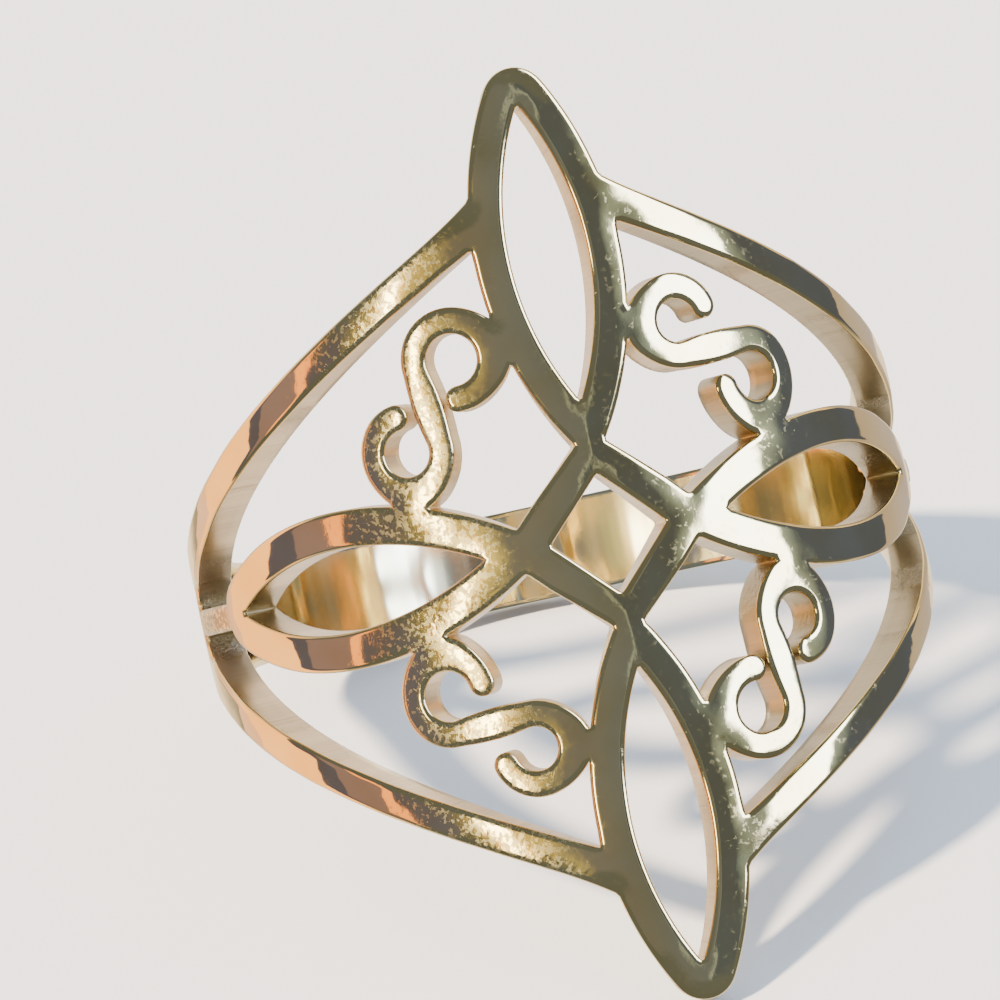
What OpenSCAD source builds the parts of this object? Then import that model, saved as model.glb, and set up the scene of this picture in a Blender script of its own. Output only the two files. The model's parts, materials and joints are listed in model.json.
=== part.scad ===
// Witch knot ring: one polished sheet, cut through in a knot of four leaves, a square
// and four S scrolls, and rolled round the finger. It lies on its side, face turned up.
// Every outline is drawn flat on the sheet's outer face: s runs round the finger from
// the middle of the face, t along the finger, and both are lengths in millimetres.

/* [Band] */
// Inside diameter, a US size 8
inner_d = 18.2; // [17:0.1:20]
// Thickness of the sheet
sheet_t = 1.1; // [0.9:0.1:1.4]
// Width of the shank behind the finger
shank_w = 2.9; // [2.6:0.1:3.4]

/* [Leaves] */
// Height of the face from leaf tip to leaf tip
face_h = 25; // [24.6:0.1:25.4]
// Opening of an upright leaf: where it starts from the middle of the face
upright_from = 3.55; // [3.4:0.05:3.7]
// Opening of an upright leaf: where it ends
upright_to = 11.5; // [11.3:0.05:11.6]
// Opening of an upright leaf: its greatest width
upright_open = 2.1; // [2:0.05:2.3]
// Rim of an upright leaf
upright_rim = 0.95; // [0.9:0.05:1.05]
// Opening of a side leaf: where it starts from the middle of the face
side_from = 3.42; // [3.3:0.02:3.6]
// Opening of a side leaf: where it ends
side_to = 11.95; // [11.7:0.05:12.1]
// Opening of a side leaf: its greatest width
side_open = 2.2; // [2:0.05:2.4]
// Rim of a side leaf
side_rim = 1.02; // [0.94:0.02:1.1]
// Outer end of a side leaf
side_end = 13; // [12.9:0.05:13.2]

/* [Knot] */
// Square opening in the middle: half of its diagonal
square_half = 1.6; // [1.4:0.05:1.8]
// The same for the outside of the bars round the square
bars_half = 3; // [2.9:0.05:3.1]

/* [Arms] */
// Height at which an arm's inner edge would meet the middle of the face
arm_in_t = 9.02; // [8.9:0.02:9.1]
// The same for its outer edge
arm_out_t = 9.98; // [9.9:0.02:10.1]
// Fall of the arms for each millimetre round the finger
arm_fall = 0.5; // [0.49:0.005:0.51]
// Where the slot between the arms ends
slot_end = 16.5; // [16:0.1:17]
// Neck that joins a side leaf's end to the shank
neck_w = 0.75; // [0.6:0.05:0.9]

/* [Scrolls] */
// Width of a scroll's strip
strip_w = 0.7; // [0.6:0.02:0.8]
// How much wider the strip is between its two curls
strip_swell = 0.14; // [0:0.02:0.2]
// How far a curl thickens into the leaf that it leans on
strip_root = 0.24; // [0.2:0.02:0.3]

/* [Hidden] */
// The upper left scroll. A row for each curl: its middle (s, t), its radius, the angle
// of its free end and the angle at which it leans on a leaf.
S = 0; T = 1; RADIUS = 2; FREE = 3; LEAN = 4;
left_scroll = [
    [-3.15, 5.32, 1.04,  -92,   0],
    [-4.90, 3.18, 0.98, -264, -90],
];
right_scroll = [
    [ 3.13, 5.12, 0.93,   17, 180],
    [ 5.22, 3.30, 1.02, -171, -90],
];
in_r = inner_d / 2;
out_r = in_r + sheet_t;
// The cutting solids stand proud of the sheet by this much, the scroll strips by half
proud = 0.4;
// Blunt width of the openings' sharp corners
kerf = 0.08;
shank_half = shank_w / 2;
neck_half = neck_w / 2;
tip_t = face_h / 2;
back_s = 180 * out_r * PI / 180;
round_fn = 120;
arc_steps = 7;
curl_step = 24;
lean_reach = 38;
root_out = 0.12;
// Softness of the bend from arm to shank, and the flare where an arm leaves a leaf
bend_soft = 0.8;
flare_h = 0.22;
flare_len = 0.9;

// A point (s, t) of the flat sheet, rolled to radius r
function roll(p, r) = let(a = p[S] / out_r * 180 / PI) [r * sin(a), -r * cos(a), p[T]];

// A leaf is two arcs. Values of one leaf, from the ends of its opening, its greatest
// width, its rim and its outer end: the middle c, the distance d from the leaf's axis
// to the arcs' centres, the opening's arc radius ro, the rim's arc radius rr, and the
// radius tr and middle tc of the round tip that the two rim arcs run into.
function leaf(from, to, open, rim, end) =
    let(c = (from + to) / 2, a = (to - from) / 2, b = open / 2,
        ro = (a * a + b * b) / (2 * b), d = ro - b, rr = ro + rim, e = end - c,
        tr = (rr * rr - d * d - e * e) / (2 * (rr - e)))
    [c, d, ro, rr, tr, end - tr, c + rr * (end - tr - c) / (rr - tr)];
MID = 0; OFF = 1; OPEN_R = 2; RIM_R = 3; TIP_R = 4; TIP_C = 5; TIP_FROM = 6;

upright = leaf(upright_from, upright_to, upright_open, upright_rim, tip_t);
side = leaf(side_from, side_to, side_open, side_rim, side_end);

// Half the width of a leaf's opening, and of the whole leaf, at u along its axis
function open_half(l, u) = sqrt(l[OPEN_R] ^ 2 - (u - l[MID]) ^ 2) - l[OFF];
function rim_half(l, u) = u < l[TIP_FROM]
    ? sqrt(l[RIM_R] ^ 2 - (u - l[MID]) ^ 2) - l[OFF]
    : sqrt(max(0, l[TIP_R] ^ 2 - (u - l[TIP_C]) ^ 2));

// Edges of an arm: the inner one is straight, the outer one bends softly into the shank
function arm_in(s) = arm_in_t - arm_fall * s;
function arm_out(s) =
    let(line = arm_out_t - arm_fall * s + flare_h * exp((corner_s - s) / flare_len),
        gap = line - shank_half + 0.06)
    shank_half - 0.06 + (gap + sqrt(gap * gap + bend_soft ^ 2)) / 2;

// Where the upright leaf's rim meets the outer edge of the arm, by halving the interval
function meet(lo, hi, n) = n == 0 ? lo :
    let(m = (lo + hi) / 2, s = rim_half(upright, m))
    m > arm_out_t - arm_fall * s + flare_h ? meet(lo, m, n - 1) : meet(m, hi, n - 1);
corner_t = meet(upright[MID], upright_to, 20);
corner_s = rim_half(upright, corner_t);

// The upper outline of the sheet, for s from 0 to the back of the shank
tip_turn = acos(rim_half(upright, upright[TIP_FROM]) / upright[TIP_R]);
outline_half = concat(
    [for (a = [90 : -(90 - tip_turn) / 5 : tip_turn + 1])
        [upright[TIP_R] * cos(a), upright[TIP_C] + upright[TIP_R] * sin(a)]],
    [for (i = [0 : 4]) let(t = upright[TIP_FROM] + (corner_t - upright[TIP_FROM]) * i / 4)
        [rim_half(upright, t), t]],
    [for (s = [corner_s + 0.5 : 0.9 : 20]) [s, arm_out(s)]],
    [for (s = [20.5 : 1.4 : back_s - 0.6]) [s, arm_out(s)]],
    [[back_s, arm_out(back_s)]]);
n_out = len(outline_half);
outline = concat(
    outline_half,
    [for (i = [n_out - 2 : -1 : 1]) [-outline_half[i][S], outline_half[i][T]]]);

// A solid between two rows of points of the sheet, from radius r1 to radius r2. Row b is
// on the left of row a, seen from outside along the rows. A closed one has no end faces.
module rolled(a, b, r1, r2, closed = false) {
    n = len(a);
    pts = [for (i = [0 : n - 1]) each [roll(a[i], r1), roll(a[i], r2), roll(b[i], r2), roll(b[i], r1)]];
    quads = concat(
        [for (i = [0 : n - (closed ? 1 : 2)]) let(p = 4 * i, q = 4 * ((i + 1) % n))
            each [[p + 1, q + 1, q + 2, p + 2], [p, p + 3, q + 3, q],
                  [p, q, q + 1, p + 1], [p + 3, p + 2, q + 2, q + 3]]],
        closed ? [] : [[0, 1, 2, 3], [4 * n - 1, 4 * n - 2, 4 * n - 3, 4 * n - 4]]);
    polyhedron(pts, [for (q = quads) each [[q[2], q[1], q[0]], [q[3], q[2], q[0]]]]);
}

// The same, cut right through the sheet
module opening(a, b, closed = false) {
    rolled(a, b, in_r - proud, out_r + proud, closed);
}

// Everything outside the upper outline, and its mirror image below
module outside(k) {
    far = [for (p = outline) [p[S], tip_t + 1]];
    near = [for (p = outline) [p[S], k * p[T]]];
    if (k > 0) opening(near, far, true);
    else opening([for (p = far) [p[S], -p[T]]], near, true);
}

// Stations along a leaf's opening, from one blunt corner to the other
function leaf_steps(l, from, to) =
    let(a = asin((to - from) / 2 / l[OPEN_R]), e = kerf / 2)
    [for (i = [0 : 2 * arc_steps]) let(u = l[MID] + l[OPEN_R] * sin(a * (i / arc_steps - 1)))
        [u, max(e, open_half(l, u))]];

module upright_opening(k) {
    rows = leaf_steps(upright, upright_from, upright_to);
    opening([for (r = rows) [k * r[1], k * r[0]]], [for (r = rows) [-k * r[1], k * r[0]]]);
}

module side_opening(k) {
    rows = leaf_steps(side, side_from, side_to);
    opening([for (r = rows) [k * r[0], -k * r[1]]], [for (r = rows) [k * r[0], k * r[1]]]);
}

module square_opening() {
    rows = [for (u = [-1, -0.5, 0, 0.5, 1]) [u * square_half, max(kerf / 2, square_half * (1 - abs(u)))]];
    opening([for (r = rows) [r[0], -r[1]]], [for (r = rows) r]);
}

// One quarter of the knot, between the bars, two leaves and an arm: its lower and upper
// edges at the same places s. The upper edge climbs the upright leaf, then follows the
// arm. The lower edge follows the bar, the side leaf and the neck. The climb starts at
// the waist, where the leaf's rim is a kerf away from the bar.
function waist(lo, hi, n) = n == 0 ? hi :
    let(m = (lo + hi) / 2)
    m + rim_half(upright, m) > bars_half + kerf ? waist(lo, m, n - 1) : waist(m, hi, n - 1);
waist_a = asin((upright[MID] - waist(2, bars_half, 20)) / upright[RIM_R]);
climb = [for (i = [0 : arc_steps]) let(a = -waist_a * (1 - i / arc_steps))
    [-upright[OFF] + upright[RIM_R] * cos(a), upright[MID] + upright[RIM_R] * sin(a)]];
climb_end = climb[arc_steps][S] + 0.02;
// Where the bar's outer side meets the side leaf's rim
function bar_end(lo, hi, n) = n == 0 ? lo :
    let(m = (lo + hi) / 2)
    bars_half - m > rim_half(side, m) ? bar_end(m, hi, n - 1) : bar_end(lo, m, n - 1);
bar_s = bar_end(2, 3, 20);
function low(s) = s < bar_s ? bars_half - s
    : s > side_end - 0.3 ? max(neck_half, rim_half(side, min(s, side_end)))
    : max(neck_half, rim_half(side, s));
neck_from = side[TIP_C] + sqrt(side[TIP_R] ^ 2 - neck_half ^ 2);
slot_round = 0.7;
function high(s) = let(u = (s - slot_end + slot_round) / slot_round, t = arm_in(slot_end - slot_round))
    u <= 0 ? arm_in(s) : neck_half + kerf + (t - neck_half - kerf) * sqrt(max(0, 1 - u * u));
quarter_s = concat(
    [climb_end, bar_s],
    [for (s = [3 : 0.9 : 11.9]) s],
    [for (u = [0.3, 0.55, 0.75, 0.9, 1]) 11.9 + (neck_from - 11.9) * u],
    [14.2, slot_end - slot_round],
    [for (u = [0.5, 0.8, 0.95, 1]) slot_end - slot_round * (1 - u)]);
quarter_low = concat([for (p = climb) [p[S], bars_half - p[S]]], [for (s = quarter_s) [s, low(s)]]);
quarter_high = concat(climb, [for (s = quarter_s) [s, high(s)]]);

// The quarter with its scroll left standing, turned into place by the signs ks and kt
module quarter(ks, kt) {
    lows = [for (p = quarter_low) [ks * p[S], kt * p[T]]];
    highs = [for (p = quarter_high) [ks * p[S], kt * p[T]]];
    difference() {
        opening(ks * kt > 0 ? lows : highs, ks * kt > 0 ? highs : lows);
        scroll(ks * kt > 0 ? right_scroll : left_scroll, kt);
    }
}

// How far a curl has swollen into its leaf at angle a
function lean(curl, a) = exp(-((a - curl[LEAN]) / lean_reach) ^ 2);

// Stations of a curl from angle a0 to a1, travelled anticlockwise for turn 1 and
// clockwise for turn -1. A station is [s, t, direction, half width].
function curl_rows(curl, a0, a1, turn) =
    let(n = ceil(abs(a1 - a0) / curl_step))
    [for (i = [0 : n]) let(a = a0 + (a1 - a0) * i / n, r = curl[RADIUS] + root_out * lean(curl, a))
        [curl[S] + r * cos(a), curl[T] + r * sin(a), a + 90 * turn,
         (strip_w + strip_root * lean(curl, a)) / 2]];

// Round end of a strip, from a station outwards, for dir 1 forwards and -1 backwards
function cap_rows(row, dir) = [for (a = [35, 62, 84])
    let(e = dir * row[3] * sin(a))
    [row[S] + e * cos(row[2]), row[T] + e * sin(row[2]), row[2], row[3] * cos(a)]];

// Stations of an S scroll: curl, straight run that touches both curls, curl
function scroll_rows(pair) =
    let(a = pair[0], b = pair[1], ds = b[S] - a[S], dt = b[T] - a[T], l = norm([ds, dt]),
        way = atan2(dt, ds) + asin((a[RADIUS] + b[RADIUS]) / l),
        turned = way - 90 < a[FREE] ? way + 270 : way - 90,
        first = curl_rows(a, a[FREE], turned, 1),
        enter = way + 90 > 180 ? way - 270 : way + 90,
        last = curl_rows(b, enter, b[FREE], -1),
        p = first[len(first) - 1], q = last[0],
        run = [for (u = [0.25, 0.5, 0.75])
            [p[S] + (q[S] - p[S]) * u, p[T] + (q[T] - p[T]) * u, way,
             (strip_w + strip_swell * sin(180 * u)) / 2]],
        all = concat(first, run, last), end = all[len(all) - 1], back = cap_rows(all[0], -1))
    concat([back[2], back[1], back[0]], all, cap_rows(end, 1));

// A scroll of one quarter, turned half round the middle of the face for k = -1
module scroll(pair, k) {
    rows = scroll_rows(pair);
    right = [for (r = rows) k * [r[S] + r[3] * sin(r[2]), r[T] - r[3] * cos(r[2])]];
    left = [for (r = rows) k * [r[S] - r[3] * sin(r[2]), r[T] + r[3] * cos(r[2])]];
    rolled(right, left, in_r - proud / 2, out_r + proud / 2);
}

// The ring with its finger hole upright
module upright_ring() {
    difference() {
        cylinder(h = face_h + 0.5, r = out_r, center = true, $fn = round_fn);
        cylinder(h = face_h + 2, r = in_r, center = true, $fn = round_fn);
        for (k = [-1, 1]) {
            outside(k);
            upright_opening(k);
            side_opening(k);
        }
        square_opening();
        for (ks = [-1, 1], kt = [-1, 1]) quarter(ks, kt);
    }
}

// Lying on its side: the lower leaf's tip and the back of the shank touch the table
tilt = atan((tip_t - arm_out(back_s)) / (in_r + out_r));
rest_z = tip_t * cos(tilt) - in_r * sin(tilt);
front_y = -out_r * cos(tilt) - tip_t * sin(tilt);
rear_y = out_r * cos(tilt) + arm_out(back_s) * sin(tilt);

module knot_ring() {
    color("#d9b45b") translate([0, -(front_y + rear_y) / 2, rest_z]) rotate([-tilt, 0, 0]) upright_ring();
}

knot_ring();
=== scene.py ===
"""Looks of the witch knot ring: one polished gold sheet, cut through in a knot of leaves,
a square and S scrolls, rolled round the finger and laid on its side.

The sheet is drawn flat, in millimetres: s runs round the finger from the middle of the
face and t along the finger, both on its outer face. Every outline is a loop of points
(s, t) with the metal on its left."""
import json
import math

import bpy
import numpy as np
from mathutils import Matrix, Vector
from mathutils.geometry import delaunay_2d_cdt


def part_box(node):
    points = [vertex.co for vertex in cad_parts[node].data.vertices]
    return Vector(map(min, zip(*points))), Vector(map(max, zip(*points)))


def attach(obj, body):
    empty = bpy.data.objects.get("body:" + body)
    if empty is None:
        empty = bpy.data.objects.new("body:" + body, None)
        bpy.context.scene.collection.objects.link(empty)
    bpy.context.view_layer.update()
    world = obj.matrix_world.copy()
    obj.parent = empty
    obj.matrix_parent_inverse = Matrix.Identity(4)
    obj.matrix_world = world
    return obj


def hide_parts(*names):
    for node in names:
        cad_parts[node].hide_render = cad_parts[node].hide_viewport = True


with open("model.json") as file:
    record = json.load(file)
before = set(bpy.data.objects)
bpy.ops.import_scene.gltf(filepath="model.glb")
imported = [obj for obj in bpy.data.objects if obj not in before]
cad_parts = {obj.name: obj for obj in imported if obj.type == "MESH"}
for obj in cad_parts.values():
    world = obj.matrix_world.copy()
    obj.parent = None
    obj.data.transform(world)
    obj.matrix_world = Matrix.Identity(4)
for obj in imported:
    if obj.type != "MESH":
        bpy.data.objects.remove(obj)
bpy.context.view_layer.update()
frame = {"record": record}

MM = 0.001
finger = frame["record"]["mounts"][0]
CENTRE = np.array(finger["pos_m"]) / MM
LEAN = math.atan2(finger["axis"][1], finger["axis"][2])
IN_R = finger["dims"]["r_mm"]
OUT_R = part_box("knot_ring")[1].x / MM
BACK_S = math.pi * OUT_R

# The knot, with the same sizes as the solids
TIP_T = 12.5
SHANK_HALF = 1.45
UPRIGHT = dict(start=3.55, stop=11.5, width=2.1, rim=0.95, end=TIP_T)
SIDE = dict(start=3.42, stop=11.95, width=2.2, rim=1.02, end=13.0)
SQUARE_HALF = 1.6
BARS_HALF = 3.0
BAR_STOP = 1.9                        # where a quarter's outline stops, to close along the bar
WAIST_T = 2.43                        # where an upright leaf's rim comes off the bar
ARM_IN_T, ARM_OUT_T, ARM_FALL = 9.02, 9.98, 0.5
FLARE_H, FLARE_LEN = 0.22, 0.9
BEND_SOFT, BEND_LOW = 0.8, 0.06       # the bend from arm to shank: softness and how far it dips
NECK_HALF, SLOT_END, SLOT_ROUND = 0.375, 16.5, 0.7
SLOT_LIFT = 0.04                      # how far over the neck a slot's round end starts
STRIP_W, STRIP_SWELL, STRIP_ROOT, ROOT_OUT, LEAN_REACH = 0.7, 0.14, 0.24, 0.12, 38.0
# The scrolls' curls: middle (s, t), radius, angle of the free end, and the angle at which
# the curl leans on a leaf
LEFT_SCROLL = ((-3.15, 5.32, 1.04, -92, 0), (-4.90, 3.18, 0.98, -264, -90))
RIGHT_SCROLL = ((3.13, 5.12, 0.93, 17, 180), (5.22, 3.30, 1.02, -171, -90))

# How the sheet is finished
EDGE_IN, EDGE_DROP = 0.14, 0.11       # round of the outer edges: inwards and down
BACK_DROP = 0.04                      # round of the inner edges
CROWN, CROWN_REACH = 0.022, 0.6       # the faces fall towards their edges
WAVE = 0.005                          # unevenness left by the polishing
OUTLINE_STEP, KNOT_STEP, FILL_STEP = 0.15, 0.095, 0.2
OUTLINE_SOFT, KNOT_SOFT = 0.05, 0.03  # how far the outlines' corners are rounded
FINE_STEP = 0.02                      # for the rounding, and between two stretches of an outline
# The waves: height, how many go round the ring, turn for each millimetre of t, and phase
WAVES = ((1, 17, 1.1, 0), (1, 23, -1.9, 2), (0.7, 34, 0.8, 4), (0.6, 11, 2.7, 1), (0.5, 41, -3.1, 3))
# The section of an edge: angles of the rows on a round, depths of the wall's rows as shares of
# the thickness, how far its ends lie on the flat, and between which rows the cut wall is
ROUND_ANGLES = (90, 68, 50, 35, 23, 12, 0)
WALL_DEPTHS = (0.4, 0.7)
FLAT_REACH = 0.03
WALL_ROWS = (7, 10)
# How many points are worked out along each stretch of an outline
TIP_POINTS, RIM_POINTS, OPENING_POINTS, CORNER_POINTS = 60, 120, 161, 4001
CURL_POINTS, LINE_POINTS, CAP_POINTS = 160, 40, 24
SLOT_POINTS, SLOT_END_POINTS, LONG_POINTS = 300, 30, 900
AT_A_TIME = 1500                      # points compared with all others in one go
FILL_CLEAR = 0.62                     # share of a step that the fill keeps from the rows
BACK_CLEAR = 0.6                      # and from the column at the back
WHOLE_HULL = 0                        # kind of triangulation: all that lies between the points
SAME_POINT = 1e-7                     # points nearer than this count as one


def leaf(start, stop, width, rim, end):
    """A leaf from two arcs a side. The opening's arcs pass through its two ends and its
    greatest width; the rim's arcs have the same middles, are wider by the rim, and run
    into a round tip that touches them."""
    mid, half, wide = (start + stop) / 2, (stop - start) / 2, width / 2
    open_r = (half ** 2 + wide ** 2) / (2 * wide)
    off, rim_r, reach = open_r - wide, open_r + rim, end - mid
    tip_r = (rim_r ** 2 - off ** 2 - reach ** 2) / (2 * (rim_r - reach))
    tip_mid = end - tip_r
    return dict(mid=mid, off=off, open_r=open_r, rim_r=rim_r, tip_r=tip_r, tip_mid=tip_mid,
                tip_from=mid + rim_r * (tip_mid - mid) / (rim_r - tip_r), start=start, stop=stop)


upright, side = leaf(**UPRIGHT), leaf(**SIDE)


def rim_half(one, u):
    """Half the width of a leaf at u along it: the rim's arc, then the tip's circle."""
    arc = np.sqrt(np.maximum(0, one["rim_r"] ** 2 - (u - one["mid"]) ** 2)) - one["off"]
    tip = np.sqrt(np.maximum(0, one["tip_r"] ** 2 - (u - one["tip_mid"]) ** 2))
    return np.where(u < one["tip_from"], arc, tip)


def arm_in(s):
    """Inner edge of an arm: a straight fall."""
    return ARM_IN_T - ARM_FALL * s


def corner_height():
    """The height at which the upright leaf's rim crosses the arm's outer line."""
    heights = np.linspace(upright["mid"], upright["stop"], CORNER_POINTS)
    gap = heights - (ARM_OUT_T - ARM_FALL * rim_half(upright, heights) + FLARE_H)
    return heights[np.argmax(gap > 0)]


CORNER_T = corner_height()
CORNER_S = float(rim_half(upright, CORNER_T))


def arm_out(s):
    """Outer edge of an arm: a straight fall with a small flare at the leaf, bent softly
    into the shank's straight edge, as the mean of a line and its hyperbola."""
    line = ARM_OUT_T - ARM_FALL * s + FLARE_H * np.exp((CORNER_S - s) / FLARE_LEN)
    gap = line - SHANK_HALF + BEND_LOW
    return SHANK_HALF - BEND_LOW + (gap + np.sqrt(gap ** 2 + BEND_SOFT ** 2)) / 2


def wrapped(ds):
    """A difference of two places s, the short way round the ring."""
    return (ds + BACK_S) % (2 * BACK_S) - BACK_S


def steps_of(loop):
    """From each point of a loop to the next."""
    step = np.roll(loop, -1, 0) - loop
    step[:, 0] = wrapped(step[:, 0])
    return step


def evened(loop, step, soft):
    """The loop with even steps along it, its corners rounded by averaging each point with
    its neighbours under a bell curve of width soft."""
    for length in (FINE_STEP, None):
        leg = steps_of(loop)
        run = np.concatenate(([0], np.cumsum(np.hypot(*leg.T))))
        path = np.concatenate((loop[:1], loop[:1] + np.cumsum(leg, 0)))
        n = round(run[-1] / (length or step))
        at = np.arange(n) / n * run[-1]
        even = np.stack([np.interp(at, run, path[:, k]) for k in (0, 1)], 1)
        if length:
            turn = path[-1] - path[0]
            reach = int(3 * soft / FINE_STEP) + 1
            bell = np.exp(-0.5 * (np.arange(-reach, reach + 1) * FINE_STEP / soft) ** 2)
            around = np.concatenate((even[-reach:] - turn, even, even[:reach] + turn))
            even = np.stack([np.convolve(around[:, k], bell / bell.sum(), "valid") for k in (0, 1)], 1)
        loop = even
    return loop


def turned(loop):
    """The loop turned half round the middle of the face."""
    return -loop


def hole(points):
    """A closed outline as a hole: clockwise, so that the metal is on its left."""
    s, t = points.T
    area = np.sum(s * np.roll(t, -1) - np.roll(s, -1) * t)
    return points[::-1] if area > 0 else points


def upper_outline():
    """The sheet's upper edge, all the way round: the leaf's round tip, its rim, the arm
    and the shank, and their mirror image, travelled from the back towards smaller s."""
    top = math.acos(float(rim_half(upright, upright["tip_from"])) / upright["tip_r"])
    turn = np.linspace(math.pi / 2, top, TIP_POINTS)
    heights = np.linspace(upright["tip_from"], CORNER_T, RIM_POINTS)[1:]
    arm = np.linspace(CORNER_S, BACK_S, LONG_POINTS)[1:]
    half = np.concatenate((
        np.stack((np.cos(turn), np.sin(turn)), 1) * upright["tip_r"] + (0, upright["tip_mid"]),
        np.stack((rim_half(upright, heights), heights), 1),
        np.stack((arm, arm_out(arm)), 1)))
    return np.concatenate((half[:0:-1], half * (-1, 1)))[:-1]


def leaf_opening(one):
    """A leaf's opening on the axis of u: two arcs that meet in points. Columns u, half."""
    share = np.linspace(-1, 1, OPENING_POINTS)
    sweep = math.asin((one["stop"] - one["start"]) / 2 / one["open_r"])
    u = one["mid"] + one["open_r"] * np.sin(sweep * share)
    half = np.sqrt(one["open_r"] ** 2 - (u - one["mid"]) ** 2) - one["off"]
    return np.concatenate((np.stack((u, half), 1), np.stack((u, -half), 1)[-2:0:-1]))


def quarter_outline():
    """One quarter between the bars, two leaves and an arm, for positive s and t: up the
    upright leaf's rim, down the arm to the slot's round end, and back along the neck, the
    side leaf's rim and the bar."""
    waist = math.asin((upright["mid"] - WAIST_T) / upright["rim_r"])
    climb = np.linspace(-waist, 0, RIM_POINTS)
    up = np.stack((upright["rim_r"] * np.cos(climb) - upright["off"],
                   upright["mid"] + upright["rim_r"] * np.sin(climb)), 1)
    s = np.linspace(up[-1, 0] + FINE_STEP, SLOT_END - SLOT_ROUND, SLOT_POINTS)
    arm = np.stack((s, arm_in(s)), 1)
    a = np.linspace(0, math.pi / 2, SLOT_END_POINTS)[1:]
    low = NECK_HALF + SLOT_LIFT
    end = np.stack((SLOT_END - SLOT_ROUND * (1 - np.sin(a)), low + (arm[-1, 1] - low) * np.cos(a)), 1)
    s = np.linspace(SLOT_END - FINE_STEP, BAR_STOP, LONG_POINTS)
    back = np.stack((s, np.maximum(np.maximum(BARS_HALF - s, rim_half(side, s)), NECK_HALF)), 1)
    return np.concatenate((up, arm, end, back))


def strip_stations(scroll):
    """Middle line of an S scroll: a curl, the straight line that touches both curls, and
    the other curl. Columns s, t, direction, half the width; the strip swells between the
    curls and, under a bell curve of the angle, where a curl leans on its leaf."""
    (s1, t1, r1, free1, lean1), (s2, t2, r2, free2, lean2) = scroll
    across = math.asin((r1 + r2) / math.hypot(s2 - s1, t2 - t1))
    way = math.degrees(math.atan2(t2 - t1, s2 - s1) + across)

    def curl(s0, t0, r0, lean, a, turn):
        """Stations on a circle at the angles a, wider and further out where it leans."""
        bell = np.exp(-((a - lean) / LEAN_REACH) ** 2)
        r, rad = r0 + ROOT_OUT * bell, np.radians(a)
        return np.stack((s0 + r * np.cos(rad), t0 + r * np.sin(rad), a + 90 * turn,
                         (STRIP_W + STRIP_ROOT * bell) / 2), 1)

    leave = way - 90 if way - 90 >= free1 else way + 270
    enter = way + 90 if way + 90 <= 180 else way - 270
    first = curl(s1, t1, r1, lean1, np.linspace(free1, leave, CURL_POINTS), 1)
    last = curl(s2, t2, r2, lean2, np.linspace(enter, free2, CURL_POINTS), -1)
    u = np.linspace(0, 1, LINE_POINTS)[1:-1, None]
    line = first[-1] + (last[0] - first[-1]) * u
    line[:, 2], line[:, 3] = way, (STRIP_W + STRIP_SWELL * np.sin(math.pi * u[:, 0])) / 2
    return np.concatenate((first, line, last))


def strip_outline(scroll):
    """Outline of a scroll: half the width to the right and left of its middle line, with
    round ends."""
    row = strip_stations(scroll)

    def sideways(rows, sign):
        """The middle line moved aside by half the width, to the right for a sign of 1."""
        rad = np.radians(rows[:, 2])
        return rows[:, :2] + sign * rows[:, 3:] * np.stack((np.sin(rad), -np.cos(rad)), 1)

    def cap(one, start):
        """A half circle round an end, from the angle start on."""
        a = np.radians(one[2] + np.linspace(start, start + 180, CAP_POINTS)[1:-1])
        return one[:2] + one[3] * np.stack((np.cos(a), np.sin(a)), 1)

    return np.concatenate((sideways(row, 1), cap(row[-1], -90), sideways(row, -1)[::-1], cap(row[0], 90)))


def inside(points, loops):
    """Whether each point lies in an odd number of the loops: edges crossed by a ray."""
    a = np.concatenate(loops)
    b = np.concatenate([np.roll(x, -1, 0) for x in loops])
    found = np.zeros(len(points), bool)
    slope = (b[:, 0] - a[:, 0]) / np.where(a[:, 1] == b[:, 1], 1, b[:, 1] - a[:, 1])
    for part in np.array_split(np.arange(len(points)), max(1, len(points) // AT_A_TIME)):
        s, t = points[part, 0, None], points[part, 1, None]
        across = (a[:, 1] > t) != (b[:, 1] > t)
        found[part] = (across & (s < a[:, 0] + (t - a[:, 1]) * slope)).sum(1) % 2 == 1
    return found


def runs(points, keep):
    """The stretches of a closed outline whose points are kept, each in order."""
    first = int(np.argmin(keep))
    points, keep = np.roll(points, -first, 0), np.roll(keep, -first)
    edge = np.flatnonzero(np.diff(np.concatenate(([0], keep.astype(int), [0]))))
    return [points[a:b] for a, b in edge.reshape(-1, 2)]


def quarter_openings(scroll):
    """The two openings that a scroll leaves in its quarter: each is a stretch of the
    quarter's outline outside the strip, closed by the stretch of the strip's outline
    that starts and ends nearest to it."""
    mirror = (-1, 1) if scroll[0][0] < 0 else (1, 1)
    outline, strip = quarter_outline() * mirror, strip_outline(scroll)
    outer = runs(outline, ~inside(outline, [strip]))
    inner = runs(strip, inside(strip, [outline]))
    found = []
    for one in outer:
        ways = [(np.hypot(*(one[-1] - other[0])) + np.hypot(*(one[0] - other[-1])), k, other)
                for k, other in enumerate([x for y in inner for x in (y, y[::-1])])]
        found.append(np.concatenate((one, min(ways, key=lambda w: w[:2])[2])))
    return found


def all_loops():
    """Every outline of the knot, evened, the two outer ones first."""
    upper = evened(upper_outline(), OUTLINE_STEP, OUTLINE_SOFT)
    tall, wide = leaf_opening(upright)[:, ::-1], leaf_opening(side)
    square = np.array(((1, 0), (0, 1), (-1, 0), (0, -1))) * SQUARE_HALF
    holes = [tall, turned(tall), wide, turned(wide), square]
    for scroll in (LEFT_SCROLL, RIGHT_SCROLL):
        pair = quarter_openings(scroll)
        holes += pair + [turned(x) for x in pair]
    return [upper, turned(upper)] + [evened(hole(x), KNOT_STEP, KNOT_SOFT) for x in holes]


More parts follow.
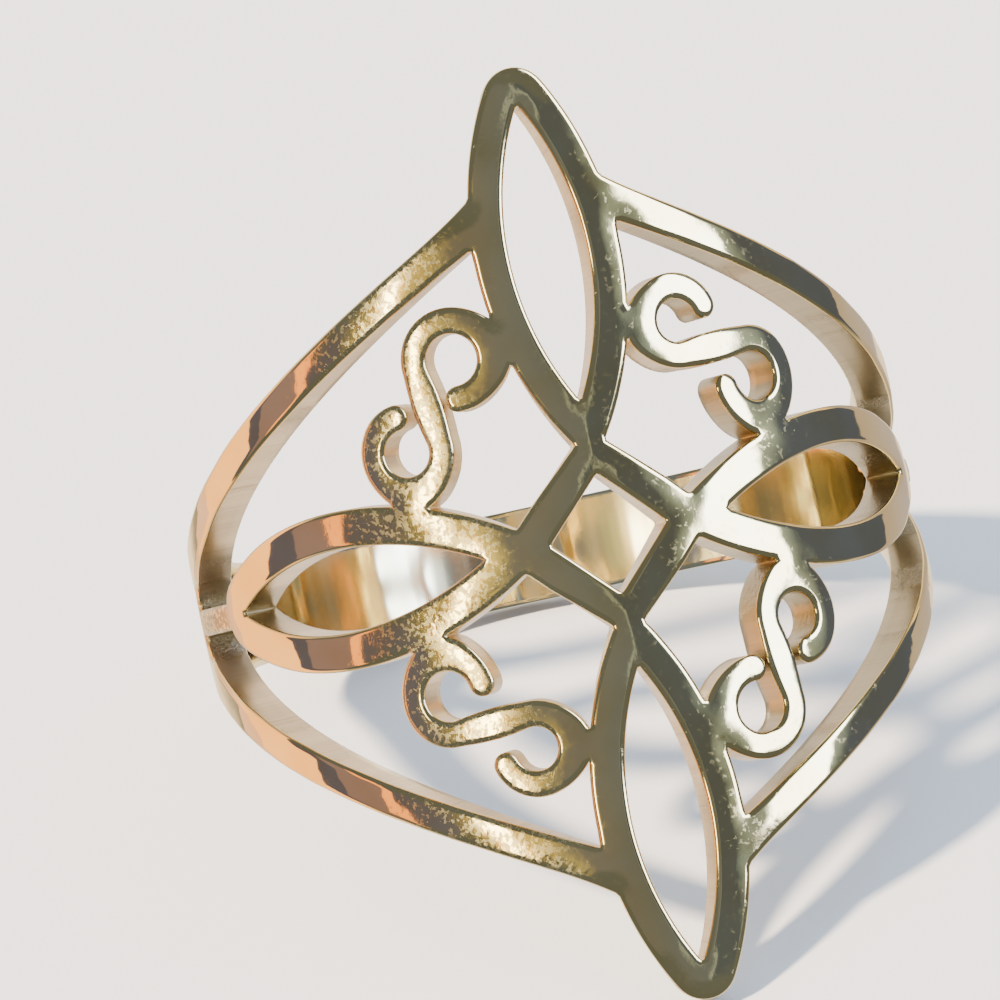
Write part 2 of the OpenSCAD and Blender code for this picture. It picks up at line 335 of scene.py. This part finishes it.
def leftwards(loop):
    """Unit vectors to the left of a loop's points, square to the mean of both steps."""
    ahead = steps_of(loop)
    along = ahead + np.roll(ahead, 1, 0)
    along /= np.hypot(*along.T)[:, None]
    return np.stack((-along[:, 1], along[:, 0]), 1)


def distance(points, others):
    """Distance from each point to the nearest of the others."""
    found = np.empty(len(points))
    for part in np.array_split(np.arange(len(points)), max(1, len(points) // AT_A_TIME)):
        ds = wrapped(points[part, 0, None] - others[:, 0])
        found[part] = np.sqrt((ds ** 2 + (points[part, 1, None] - others[:, 1]) ** 2).min(1))
    return found


def wave(p):
    """Unevenness of the polished faces: a sum of long sine waves across the sheet, whole
    numbers of them round the ring, each with its crests level with the true face."""
    a = p[:, 0] / OUT_R
    t = p[:, 1]
    return WAVE * sum(high * (np.sin(n * a + k * t + phase) - 1) for high, n, k, phase in WAVES)


def crown(d):
    """Fall of a face at distance d from its edge: a smooth step over the crown's reach."""
    x = np.clip(1 - d / CROWN_REACH, 0, 1)
    return CROWN * x * x * (3 - 2 * x)


def edge_profile():
    """The section carried along every outline, from face to face: columns inset, depth
    under the outer face. Both edges are quarter ellipses and the wall between them is
    straight; the first and last rows lie on the flat of the faces."""
    thick = OUT_R - IN_R
    a = np.radians(ROUND_ANGLES)
    outer = np.stack((EDGE_IN * (1 - np.cos(a)), EDGE_DROP * (1 - np.sin(a))), 1)
    deep = np.array(WALL_DEPTHS) * thick
    wall = np.stack((np.zeros_like(deep), deep), 1)
    back = np.stack((outer[::-2, 0], thick - BACK_DROP * (1 - np.sin(a[::-2]))), 1)
    flat = EDGE_IN + FLAT_REACH
    return np.concatenate(([[flat, 0]], outer, wall, back, [[flat, thick]]))


def rolled(flat, radius):
    """Flat places rolled round the finger at their radius, leaned over and set down on the
    table, in the row's frame, in metres."""
    a = flat[:, 0] / OUT_R
    x, y, z = radius * np.sin(a), -radius * np.cos(a), flat[:, 1]
    c, n = math.cos(LEAN), math.sin(LEAN)
    return np.stack((x + CENTRE[0], y * c + z * n + CENTRE[1], z * c - y * n + CENTRE[2]), 1) * MM


def fill_points(band, holes, around):
    """Points on a triangular grid over the metal, clear of the rows around it: every other
    row stands half a step aside, and the rows are closer than the columns by the root of
    three quarters."""
    closer = math.sqrt(0.75)
    high, wide = int(TIP_T / FILL_STEP / closer) + 1, int(BACK_S / FILL_STEP) + 1
    r, c = np.meshgrid(np.arange(-high, high + 1), np.arange(-wide, wide + 1), indexing="ij")
    grid = np.stack(((c + r % 2 / 2) * FILL_STEP, r * FILL_STEP * closer), -1).reshape(-1, 2)
    grid = grid[(abs(grid[:, 0]) < BACK_S - BACK_CLEAR * FILL_STEP) & (abs(grid[:, 1]) < TIP_T)]
    grid = grid[inside(grid, [band] + holes)]
    return grid[distance(grid, around) > FILL_CLEAR * FILL_STEP]


def triangulated(points, edges, loops):
    """Triangles over the flat pattern that keep the edges, where the loops hold metal."""
    out = delaunay_2d_cdt([Vector(p) for p in points], edges.tolist(), [], WHOLE_HULL, SAME_POINT)
    corner = np.array([v[:] for v in out[0]])
    origin = np.array([v[0] for v in out[3]])
    tri = np.array(out[2])
    tri = tri[inside(corner[tri].mean(1), loops)]
    a, b, c = (corner[tri[:, k]] for k in range(3))
    over = (b[:, 0] - a[:, 0]) * (c[:, 1] - a[:, 1]) > (b[:, 1] - a[:, 1]) * (c[:, 0] - a[:, 0])
    return origin[np.where(over[:, None], tri, tri[:, ::-1])]


def edge_strips(loops, profile):
    """The edge profile carried along every outline: the rows of points, each (s, t, radius),
    the faces between them, the row of the profile at which each of these starts, and the
    number of the first point of each outline."""
    rows = np.arange(len(profile) - 1)
    first = np.concatenate(([0], np.cumsum([len(x) * len(profile) for x in loops])))
    places, quads, quad_rows = [], [], []
    for loop, start in zip(loops, first):
        n, left = len(loop), leftwards(loop)
        for inset, depth in profile:
            p = loop + inset * left
            outer = depth < (OUT_R - IN_R) / 2
            fall = wave(p) - crown(inset) if outer else 0
            places.append(np.column_stack((p, np.full(n, OUT_R - depth) + fall)))
        i = np.arange(n)
        here = start + rows[:, None] * n + i
        there = start + rows[:, None] * n + (i + 1) % n
        quads.append(np.stack((here, here + n, there + n, there), -1).reshape(-1, 4))
        quad_rows.append(np.repeat(rows, n))
    return places, quads, quad_rows, first


def face_pattern(ring):
    """The flat face between its edges, one closed row of points for each outline. It is cut
    open at the back: the two outer rows end there in a copy of their first point, and a
    column of points stands there twice. Returns the triangles, the points that fill the
    face with the column first, and how many stand in the column. The triangles count the
    rows' points, the two copies, the column's copy and the fill."""
    count = [len(x) for x in ring]
    ring_points = np.concatenate(ring)
    round_once = np.array((2 * BACK_S, 0))
    upper_n, total = count[0], len(ring_points)
    upper_end, lower_end = ring[0][0] - round_once, ring[1][0] + round_once
    heights = np.linspace(lower_end[1], ring[0][0][1], round(2 * SHANK_HALF / FILL_STEP) + 1)[1:-1]
    column = np.column_stack((np.full(len(heights), BACK_S), heights))
    band = np.concatenate((ring[0], [upper_end], ring[1], [lower_end]))
    fill = np.concatenate((column, fill_points(band, ring[2:], ring_points)))
    points = np.concatenate((ring_points, [upper_end, lower_end], column - round_once, fill))

    at = np.concatenate(([0], np.cumsum(count)))
    edges = [np.stack((a + np.arange(n), a + (np.arange(n) + 1) % n), 1) for a, n in zip(at, count)]
    edges[0][-1, 1], edges[1][-1, 1] = total, total + 1
    k = len(column)
    for low, high, ids in ((upper_n, total, total + 2 + np.arange(k)),
                           (total + 1, 0, total + 2 + k + np.arange(k))):
        path = np.concatenate(([low], ids, [high]))
        edges.append(np.stack((path[:-1], path[1:]), 1))
    return triangulated(points, np.concatenate(edges), [band] + ring[2:]), fill, k


def sheet_surface(loops):
    """The whole sheet: the edge profile carried along every outline, and both faces
    filled between the profiles' first and last rows. Returns the points (s, t, radius),
    the edges' faces, the row of the profile at which each of them starts, and the outer
    and the inner face's triangles."""
    profile = edge_profile()
    places, quads, quad_rows, first = edge_strips(loops, profile)
    tri, fill, k = face_pattern([x + profile[0, 0] * leftwards(x) for x in loops])

    # From the flat pattern's points to the outer and the inner face's
    count = np.array([len(x) for x in loops])
    start_of = np.repeat(first[:-1], count)
    step_in = np.repeat(count, count) * (len(profile) - 1)
    outer_row = start_of + np.concatenate([np.arange(n) for n in count])
    outer_fill = first[-1] + np.arange(len(fill))
    sides = []
    for row, filled in ((outer_row, outer_fill), (outer_row + step_in, outer_fill + len(fill))):
        sides.append(np.concatenate((row, row[[0, count[0]]], filled[:k], filled))[tri])
    outer, inner = sides
    top = OUT_R - crown(distance(fill, np.concatenate(loops))) + wave(fill)
    places += [np.column_stack((fill, top)), np.column_stack((fill, np.full(len(fill), IN_R)))]
    places, quads, quad_rows = (np.concatenate(x) for x in (places, quads, quad_rows))
    return places, quads, quad_rows, outer, inner[:, ::-1]


def sheet_object(name, materials):
    """The sheet as a mesh: slot 0 on the outer face, 1 on the cut edges, 2 on the inside.
    outer_spot is a point's place on the upright ring's outer face, in millimetres, for
    patterns that follow the metal."""
    places, quads, quad_rows, outer, inner = sheet_surface(all_loops())
    mesh = bpy.data.meshes.new(name)
    faces = [*outer.tolist(), *quads.tolist(), *inner.tolist()]
    mesh.from_pydata(rolled(places[:, :2], places[:, 2]).tolist(), [], faces)
    slot = np.digitize(quad_rows, WALL_ROWS)
    slot = np.concatenate((np.zeros(len(outer)), slot, np.full(len(inner), 2)))
    mesh.polygons.foreach_set("material_index", slot.astype(np.int32))
    mesh.polygons.foreach_set("use_smooth", np.ones(len(slot), bool))
    a = places[:, 0] / OUT_R
    spot = np.stack((OUT_R * np.sin(a), -OUT_R * np.cos(a), places[:, 1]), 1).astype(np.float32)
    mesh.attributes.new("outer_spot", "FLOAT_VECTOR", "POINT").data.foreach_set("vector", spot.ravel())
    for material in materials:
        mesh.materials.append(material)
    mesh.update()
    sheet = bpy.data.objects.new(name, mesh)
    bpy.context.scene.collection.objects.link(sheet)
    return sheet


# Tones of the metal: the faces, the cut edges and the inside, pale and deep, the duller ones
# of the necks with their flecks, and painted shade on the walls: behind by the necks, on the
# right and at the left leaf's end
GOLD, GOLD_DEEP = (0.84, 0.64, 0.28), (0.79, 0.57, 0.22)
NECK_GOLD, NECK_FLECKS = (0.42, 0.32, 0.15), (0.88, 0.7, 0.33)
# The third edge tone is painted shade: the walls behind, by the necks, drawn darker
EDGE_GOLD, EDGE_DEEP, EDGE_SHADE_BEHIND = (0.86, 0.65, 0.37), (0.62, 0.46, 0.25), (0.48, 0.38, 0.23)
# The next tone is painted shade: the walls on the right and at the left leaf's end drawn darker
EDGE_PAINTED_SHADE = (0.42, 0.35, 0.2)
INSIDE_GOLD, INSIDE_DEEP = (0.92, 0.79, 0.48), (0.84, 0.67, 0.33)
# How high the finest relief stands on the faces, the cut edges and the inside
FACE_RELIEF, EDGE_RELIEF, INSIDE_RELIEF = 0.012, 0.04, 0.04
# Between which places of the upright ring the finish changes, in millimetres. From left to
# right: onto the frosted stretch and off it, onto more flecks, off the left half, and onto
# the walls' painted shade on the right
LEFT_ON, LEFT_OFF, FLECKS_ON = (-6.7, -6.3), (-3.4, -1.8), (-6.6, -4.6)
LEFT_HALF_OFF, PAINTED_SHADE_ON = (-1, 1), (1.5, 4)
# From front to back: off the knot, onto the dull necks and off them, onto the duller walls
# with painted shade, and onto the painted shade at the left leaf's end
KNOT_OFF, NECK_ON, NECK_OFF = (-7.4, -6.6), (-3.3, -2.8), (0.6, 1.6)
DULL_AND_SHADE_ON, LEAF_END_ON = (-2.2, -1), (-5.2, -4.4)
# Up and down from the middle: off the necks and off the painted shade at the leaf's end
NECK_HIGH, LEAF_END_HIGH = (0.5, 0.9), (0.6, 0.9)


def node(tree, kind, settings=None, *by_place, **by_name):
    """A new node of a tree. Its settings are set first; inputs are given by their place
    among the live ones, or by name with _ for a blank, each as a value or as what feeds it."""
    made = tree.nodes.new("ShaderNode" + kind)
    for key, value in (settings or {}).items():
        setattr(made, key, value)
    live = [socket for socket in made.inputs if socket.enabled]
    given = [*zip(live, by_place)] + [(made.inputs[k.replace("_", " ")], v) for k, v in by_name.items()]
    for socket, value in given:
        if isinstance(value, bpy.types.Node):
            value = next(x for x in value.outputs if x.enabled)
        if isinstance(value, bpy.types.NodeSocket):
            tree.links.new(value, socket)
        else:
            socket.default_value = value
    return made


def span(tree, value, low, high, at_low, at_high):
    """A smooth step of a value between two limits."""
    smooth = dict(interpolation_type="SMOOTHSTEP")
    return node(tree, "MapRange", smooth, value, low, high, at_low, at_high)


def mixed(tree, share, first, second):
    """A colour between two others."""
    made = node(tree, "Mix", dict(data_type="RGBA"), share, first, second)
    return next(x for x in made.outputs if x.enabled)


def noise(tree, at, scale, detail, rough=0.5):
    """Clouds from 0 to 1, so many to a unit of length, under so many finer layers, each
    weaker than the last by rough."""
    return node(tree, "TexNoise", None, Vector=at, Scale=scale, Detail=detail, Roughness=rough)


def plain(name, **inputs):
    """A material from its shader's inputs, given by name with _ for a blank."""
    material = bpy.data.materials.new(name)
    material.use_nodes = True
    shader = material.node_tree.nodes["Principled BSDF"]
    for key, value in inputs.items():
        shader.inputs[key.replace("_", " ")].default_value = value
    return material


def metal(name):
    """A bare metal: its material and tree, the places that its patterns use, and its
    shader."""
    material = plain(name, Metallic=1)
    tree = material.node_tree
    spot = node(tree, "Attribute", dict(attribute_name="outer_spot")).outputs["Vector"]
    return material, tree, spot, tree.nodes["Principled BSDF"]


def toned(tree, shader, first, *others):
    """A metal's colour: a first tone, with others laid over it in turn, each by a share."""
    colour = (*first, 1)
    for share, tone in others:
        colour = mixed(tree, share, colour, (*tone, 1))
    tree.links.new(colour, shader.inputs["Base Color"])


def roughened(tree, shader, value):
    """A metal's roughness, from a value."""
    tree.links.new(value.outputs[0], shader.inputs["Roughness"])


def bumped(tree, shader, height, high):
    """Relief on a material: a height of 1 stands this many millimetres high."""
    bump = node(tree, "Bump", None, Strength=1, Distance=high * MM, Height=height)
    tree.links.new(bump.outputs["Normal"], shader.inputs["Normal"])


def patches(tree, spot, scale, low=0.35, high=0.65):
    """Soft patches over the sheet, so many to a millimetre."""
    return span(tree, noise(tree, spot, scale, 2), low, high, 0, 1)


def times(tree, a, b):
    """The product of two values."""
    return node(tree, "Math", dict(operation="MULTIPLY"), a, b)


def plus(tree, a, b):
    """The sum of two values."""
    return node(tree, "Math", dict(operation="ADD"), a, b)


def size_of(tree, value):
    """A value without its sign."""
    return node(tree, "Math", dict(operation="ABSOLUTE"), value)


def polished_gold():
    """The faces: mirror bright over the knot with a few dull flecks, more of them and fine
    pits on its left, and duller on the necks behind the side leaves."""
    material, tree, spot, shader = metal("polished_gold")
    x, y, z = node(tree, "SeparateXYZ", None, spot).outputs
    knot = span(tree, y, *KNOT_OFF, 1, 0)
    left = times(tree, span(tree, x, *LEFT_ON, 0, 1), span(tree, x, *LEFT_OFF, 1, 0.08))
    near = times(tree, span(tree, y, *NECK_OFF, 1, 0), span(tree, size_of(tree, z), *NECK_HIGH, 1, 0))
    neck = times(tree, span(tree, y, *NECK_ON, 0, 1), near)
    specks = noise(tree, spot, 7, 2, 0.6)
    toned(tree, shader, GOLD, (patches(tree, spot, 0.45), GOLD_DEEP), (neck, NECK_GOLD),
          (times(tree, neck, span(tree, specks, 0.5, 0.56, 0, 1)), NECK_FLECKS))

    pits, grain = noise(tree, spot, 6.5, 3, 0.55), noise(tree, spot, 12, 2, 0.6)
    frost = span(tree, patches(tree, spot, 1.1), 0, 1, 0.25, 0.55)
    pitted = times(tree, pits, times(tree, plus(tree, left, neck), frost))
    bumped(tree, shader, plus(tree, pitted, times(tree, times(tree, grain, knot), 0.05)), FACE_RELIEF)

    many = plus(tree, times(tree, left, span(tree, x, *FLECKS_ON, 0.05, 0.13)),
                times(tree, patches(tree, spot, 0.9), 0.06))
    flecks = times(tree, knot, span(tree, plus(tree, specks, many), 0.63, 0.71, 0, 1))
    dull = plus(tree, times(tree, flecks, span(tree, left, 0, 1, 0.15, 0.2)), times(tree, neck, 0.3))
    roughened(tree, shader, plus(tree, dull, span(tree, left, 0, 1, 0.05, 0.09)))
    return material


def cut_edge():
    """The cut walls: satin and a little clouded, with faint lines straight through the
    sheet and a few rough stretches with nicks; painted shade darkens them on the right, at
    the left leaf's end and behind, by the necks, where they are also rougher."""
    material, tree, spot, shader = metal("cut_edge")
    place = node(tree, "TexCoord").outputs["Object"]
    x, y, z = node(tree, "SeparateXYZ", None, spot).outputs
    lines, crumbs = noise(tree, spot, 8, 4, 0.75), noise(tree, place, 9 / MM, 3, 0.6)
    cloud = plus(tree, times(tree, patches(tree, spot, 0.8), 0.6), span(tree, lines, 0.5, 0.72, 0, 0.5))
    # Painted shade: the walls behind, by the necks, are drawn darker; they are also rougher
    behind = span(tree, y, *DULL_AND_SHADE_ON, 0, 1)
    # Painted shade at the left leaf's end, where the slot's walls face each other
    leaf_end_shade = times(tree, span(tree, y, *LEAF_END_ON, 0, 1),
                     span(tree, size_of(tree, z), *LEAF_END_HIGH, 0.8, 0))
    leaf_end_shade = times(tree, leaf_end_shade, span(tree, x, *LEFT_HALF_OFF, 1, 0))
    # Painted shade on the walls on the right, added to that at the left leaf's end
    painted_shade = plus(tree, span(tree, x, *PAINTED_SHADE_ON, 0, 0.9), leaf_end_shade)
    toned(tree, shader, EDGE_GOLD, (cloud, EDGE_DEEP), (behind, EDGE_SHADE_BEHIND), (painted_shade, EDGE_PAINTED_SHADE))

    nicks = times(tree, crumbs, patches(tree, spot, 0.6, 0.5, 0.68))
    bumped(tree, shader, plus(tree, times(tree, lines, 0.3), times(tree, nicks, 1.6)), EDGE_RELIEF)
    satin = span(tree, lines, 0.3, 0.7, 0.28, 0.36)
    roughened(tree, shader, plus(tree, satin, times(tree, behind, 0.22)))
    return material


def gold_inside():
    """The inside of the band: polished along the finger, so its waves and streaks run
    that way."""
    material, tree, spot, shader = metal("gold_inside")
    drawn = node(tree, "Mapping", None, spot, Scale=(1, 1, 0.15))
    streak = noise(tree, drawn, 0.8, 1.5, 0.4)
    toned(tree, shader, INSIDE_GOLD, (patches(tree, drawn, 1.2), INSIDE_DEEP))
    bumped(tree, shader, streak, INSIDE_RELIEF)
    roughened(tree, shader, span(tree, streak, 0.35, 0.7, 0.08, 0.15))
    return material


# The camera, as the photograph was taken: its place in the upright ring's frame, where it
# looks past the ring's middle, and how it is rolled
CAMERA_YAW, CAMERA_PITCH, CAMERA_ROLL = map(math.radians, (-8.39, -0.37, 12.3))
CAMERA_AWAY = 142.85
CAMERA_LENS, CAMERA_SENSOR = 182.4, 36
CAMERA_SHIFT = (-0.0553, 0.0473)
CAMERA_CLIP = (0.001, 10)             # metres


def leaned(v):
    """A direction of the upright ring's frame, in the row's frame."""
    c, n = math.cos(LEAN), math.sin(LEAN)
    return Vector((v[0], v[1] * c + v[2] * n, v[2] * c - v[1] * n))


def make_camera():
    """The camera looks at the ring's middle; its up is the finger's axis, rolled."""
    sy, cy, sp, cp = (f(a) for a in (CAMERA_YAW, CAMERA_PITCH) for f in (math.sin, math.cos))
    back = leaned((sy * cp, -cy * cp, sp))
    right = leaned((cy, sy, 0))
    up = back.cross(right)
    c, n = math.cos(CAMERA_ROLL), math.sin(CAMERA_ROLL)
    x, y = right * c - up * n, right * n + up * c
    data = bpy.data.cameras.new("camera")
    data.lens, data.sensor_width = CAMERA_LENS, CAMERA_SENSOR
    data.shift_x, data.shift_y = CAMERA_SHIFT
    data.clip_start, data.clip_end = CAMERA_CLIP
    camera = bpy.data.objects.new("camera", data)
    turn = Matrix((x, y, back)).transposed().to_4x4()
    camera.matrix_world = Matrix.Translation((Vector(CENTRE) + back * CAMERA_AWAY) * MM) @ turn
    bpy.context.scene.collection.objects.link(camera)
    bpy.context.scene.camera = camera


def make_floor():
    """A wide pale floor under the ring. The polish doesn't mirror it, so that the lower
    edges stay as dark as in the photograph."""
    bpy.ops.mesh.primitive_plane_add(size=2)
    floor = bpy.context.object
    floor.name = "floor"
    floor.data.materials.append(plain(
        "pale_floor", Base_Color=(0.8, 0.79, 0.78, 1), Roughness=0.7, Specular_IOR_Level=0.2))
    floor.visible_glossy = False


# What stands round the ring and shows in its polish, by azimuth round the finger in
# degrees: 0 is in front of the face, the right is positive. Each stop has a colour and
# a brightness.
SURROUND = (
    (-180, (1, 0.82, 0.6), 2.2),
    (-165, (1, 0.82, 0.6), 2.2),
    (-152, (1, 0.88, 0.76), 0.65),
    (-104, (1, 0.88, 0.76), 0.65),
    (-102, (0.9, 0.67, 1), 0.48),
    (-84, (0.9, 0.67, 1), 0.48),
    (-82, (1, 0.4, 0.13), 2.7),
    (-77, (1, 0.4, 0.13), 2.7),
    (-76, (0.48, 0.52, 1), 0.36),
    (-60, (0.48, 0.52, 1), 0.36),
    (-54, (1, 0.95, 0.7), 0.35),
    (-48, (1, 0.85, 0.35), 0.9),
    (-45.6, (1, 0.62, 0.2), 5),
    (-44.8, (1, 1, 0.85), 19),
    (-39.2, (1, 1, 0.85), 19),
    (-38.4, (1, 0.62, 0.2), 5),
    (-35, (1, 0.88, 0.4), 1.3),
    (-27, (1, 0.92, 0.5), 0.7),
    (-20, (0.66, 0.73, 1), 0.36),
    (7.6, (0.49, 0.64, 1), 0.37),
    (8.2, (0.6, 0.78, 1), 0.8),
    (9, (0.6, 0.78, 1), 0.8),
    (9.6, (0.42, 0.57, 1), 0.28),
    (27, (0.42, 0.57, 1), 0.28),
    (36, (0.5, 0.72, 1), 1),
    (39, (0.52, 0.65, 1), 19),
    (63, (0.52, 0.65, 1), 19),
    (66, (0.5, 0.72, 1), 1.1),
    (76, (0.36, 0.5, 1), 0.38),
    (103, (0.36, 0.5, 1), 0.38),
    (106, (1, 0.85, 0.5), 1.9),
    (180, (1, 0.85, 0.7), 1.9))
BRIGHTEST = 19
# Slopes of a direction, as parts of its length: up or down, where the bands fade out; to the
# right, where they go on above; and to the back, where the dim tone past them turns bright
BELT, ON_RIGHT, TO_BACK = (0.1, 0.15), (0.4, 0.6), (0.1, 0.6)
DIM, BEHIND, SKY = [tuple(c / BRIGHTEST for c in colour) + (1,)
                    for colour in ((0.16, 0.2, 0.27), (1.8, 1.65, 1.6), (1.1, 1.35, 1.7))]
# The key light: azimuth and height in the row's frame, its width, power and colour
KEY_FROM = (-62, 40)
KEY_WIDTH, KEY_POWER, KEY_COLOUR = 5, 15, (1, 0.8, 0.6)
# Cards that only the polish sees, along the finger beside the ring: half their height, and
# for each how far it stands to the right of the finger's axis, where it starts and ends
# from front to back, and its tone
CARD_HALF = 18
CARDS = (
    ("orange_card", -45, -16.6, -12.9, (2.7, 1.08, 0.33, 1)),
    ("brown_card", -45, -12.9, -2, (0.43, 0.32, 0.46, 1)),
    ("umber_card", -45, -2, 8, (0.165, 0.17, 0.34, 1)),
    ("peach_card", -24, -1.5, 12, (3.1, 1.65, 0.75, 1)),
    ("pale_card", -24, 12, 21, (2, 1.25, 1.05, 1)),
    ("dark_card", 45, -18, 16, (0.12, 0.165, 0.35, 1)),
    ("shade_card", 24, 1.2, 20, (0.78, 0.73, 0.8, 1)))


def make_surroundings():
    """Bands of light and dark round the finger that polished metal mirrors, with plain
    tones above and below them. Anything else sees an even pale sky."""
    world = bpy.data.worlds.new("studio")
    bpy.context.scene.world = world
    world.use_nodes = True
    tree = world.node_tree
    way = node(tree, "TexCoord").outputs["Generated"]
    raised = node(tree, "VectorRotate", dict(rotation_type="X_AXIS"), Vector=way, Angle=LEAN)
    x, y, z = node(tree, "SeparateXYZ", None, raised).outputs
    azimuth = node(tree, "Math", dict(operation="ARCTAN2"), x, times(tree, y, -1))
    limit = math.radians(SURROUND[-1][0])
    ramp = node(tree, "ValToRGB", None, node(tree, "MapRange", None, azimuth, -limit, limit, 0, 1))
    stops = ramp.color_ramp.elements
    stops.remove(stops[1])
    for k, (degrees, colour, bright) in enumerate(SURROUND):
        place = math.radians(degrees) / limit / 2 + 0.5
        stop = stops.new(place) if k else stops[0]
        stop.position = place
        stop.color = [c * bright / BRIGHTEST for c in colour] + [1]
    past = mixed(tree, span(tree, y, *TO_BACK, 0, 1), DIM, BEHIND)
    high = times(tree, span(tree, z, *BELT, 0, 1), span(tree, x, *ON_RIGHT, 1, 0))
    low = span(tree, z, -BELT[1], -BELT[0], 1, 0)
    bands = mixed(tree, plus(tree, high, low), ramp.outputs["Color"], past)
    polish = node(tree, "LightPath").outputs["Is Glossy Ray"]
    back = tree.nodes["Background"]
    tree.links.new(mixed(tree, polish, SKY, bands), back.inputs["Color"])
    back.inputs["Strength"].default_value = BRIGHTEST


def make_key():
    """A broad sun from the left and the front, which throws the openwork's shadow."""
    data = bpy.data.lights.new("key", "SUN")
    data.angle, data.energy, data.color = math.radians(KEY_WIDTH), KEY_POWER, KEY_COLOUR
    lamp = bpy.data.objects.new("key", data)
    a, e = map(math.radians, KEY_FROM)
    towards = Vector((math.sin(a) * math.cos(e), -math.cos(a) * math.cos(e), math.sin(e)))
    lamp.rotation_euler = towards.to_track_quat("Z", "Y").to_euler()
    lamp.visible_glossy = False
    bpy.context.scene.collection.objects.link(lamp)


def make_card(name, right, front, back, tone):
    """A card in the upright ring's frame, shown to glossy rays alone: one face of an even
    glow."""
    corners = [leaned((right, y, z)) for y, z in
               ((front, -CARD_HALF), (back, -CARD_HALF), (back, CARD_HALF), (front, CARD_HALF))]
    mesh = bpy.data.meshes.new(name)
    mesh.from_pydata(((np.array(corners) + CENTRE) * MM).tolist(), [], [(0, 1, 2, 3)])
    mesh.materials.append(plain(
        name, Base_Color=(0, 0, 0, 1), Specular_IOR_Level=0, Emission_Color=tone, Emission_Strength=1))
    card = bpy.data.objects.new(name, mesh)
    card.visible_camera = card.visible_diffuse = card.visible_shadow = False
    bpy.context.scene.collection.objects.link(card)


make_camera()
make_floor()
make_surroundings()
make_key()
for card in CARDS:
    make_card(*card)

sheet = sheet_object("knot_ring_sheet", (polished_gold(), cut_edge(), gold_inside()))
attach(sheet, "root")
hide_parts("knot_ring")

bpy.context.view_layer.update()
